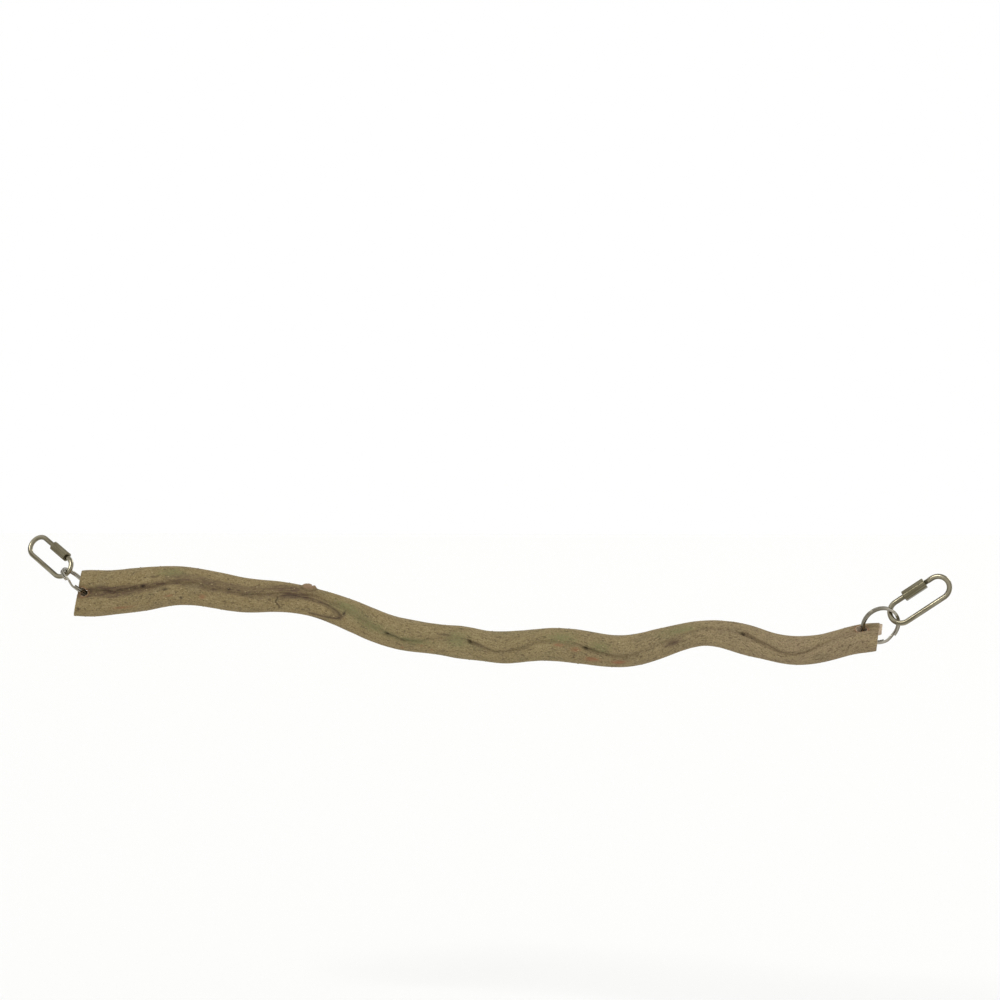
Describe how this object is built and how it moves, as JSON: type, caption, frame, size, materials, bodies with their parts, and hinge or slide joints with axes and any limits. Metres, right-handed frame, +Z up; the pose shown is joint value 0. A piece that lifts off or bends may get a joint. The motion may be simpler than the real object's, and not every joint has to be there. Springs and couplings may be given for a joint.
{
  "type": "bird perch",
  "caption": "Natural grooved vine perch with a drilled hole, a split ring and a screw quick link at each end, for hanging level between the bars of a bird cage.",
  "frame": {"origin": "centre of the left quick link's outer bend, where the bar that carries that end lies", "axes": "+X along the perch from its thick butt to its thin tip, +Y away from the viewer in the picture, +Z up as it hangs"},
  "size_m": [0.7521, 0.0345, 0.0991],
  "materials": {
    "bark": "dry matt vine bark, olive tan with brown furrows and fine speckle",
    "ring_steel": "nickel-plated flat spring wire",
    "link_steel": "zinc-plated bent steel rod",
    "sleeve_steel": "zinc-plated turned hexagonal sleeve"
  },
  "bodies": {
    "branch": {"vine_branch": "bark"},
    "left_ring": {"left_split_ring": "ring_steel"},
    "left_link": {"left_link_body": "link_steel"},
    "left_sleeve": {"left_link_sleeve": "sleeve_steel"},
    "right_ring": {"right_split_ring": "ring_steel"},
    "right_link": {"right_link_body": "link_steel"},
    "right_sleeve": {"right_link_sleeve": "sleeve_steel"}
  },
  "joints": [
    {"name": "left_ring_swing", "type": "hinge", "parent": "branch", "child": "left_ring", "pos_m": [0.04927, -0.01339, -0.03667], "axis": [0.0226, 0.9973, -0.0698], "range_deg": [-80, 40]},
    {"name": "left_link_swing", "type": "hinge", "parent": "left_ring", "child": "left_link", "pos_m": [0.02925, -0.01164, -0.0181], "axis": [0.0226, 0.9973, -0.0698], "range_deg": [-48, 72]},
    {"name": "left_sleeve_travel", "type": "slide", "parent": "left_link", "child": "left_sleeve", "axis": [-0.8055, 0.3205, 0.4985], "range_m": [0, 0.0107]},
    {"name": "right_ring_swing", "type": "hinge", "parent": "branch", "child": "right_ring", "pos_m": [0.67904, -0.01137, -0.06276], "axis": [-0.3594, -0.5751, 0.7349], "range_deg": [-70, 70]},
    {"name": "right_link_swing", "type": "hinge", "parent": "right_ring", "child": "right_link", "pos_m": [0.70117, -0.00602, -0.04775], "axis": [-0.3594, -0.5751, 0.7349], "range_deg": [-70, 70]},
    {"name": "right_sleeve_travel", "type": "slide", "parent": "right_link", "child": "right_sleeve", "axis": [-0.8281, -0.0695, -0.5563], "range_m": [-0.0037, 0.007]}
  ]
}
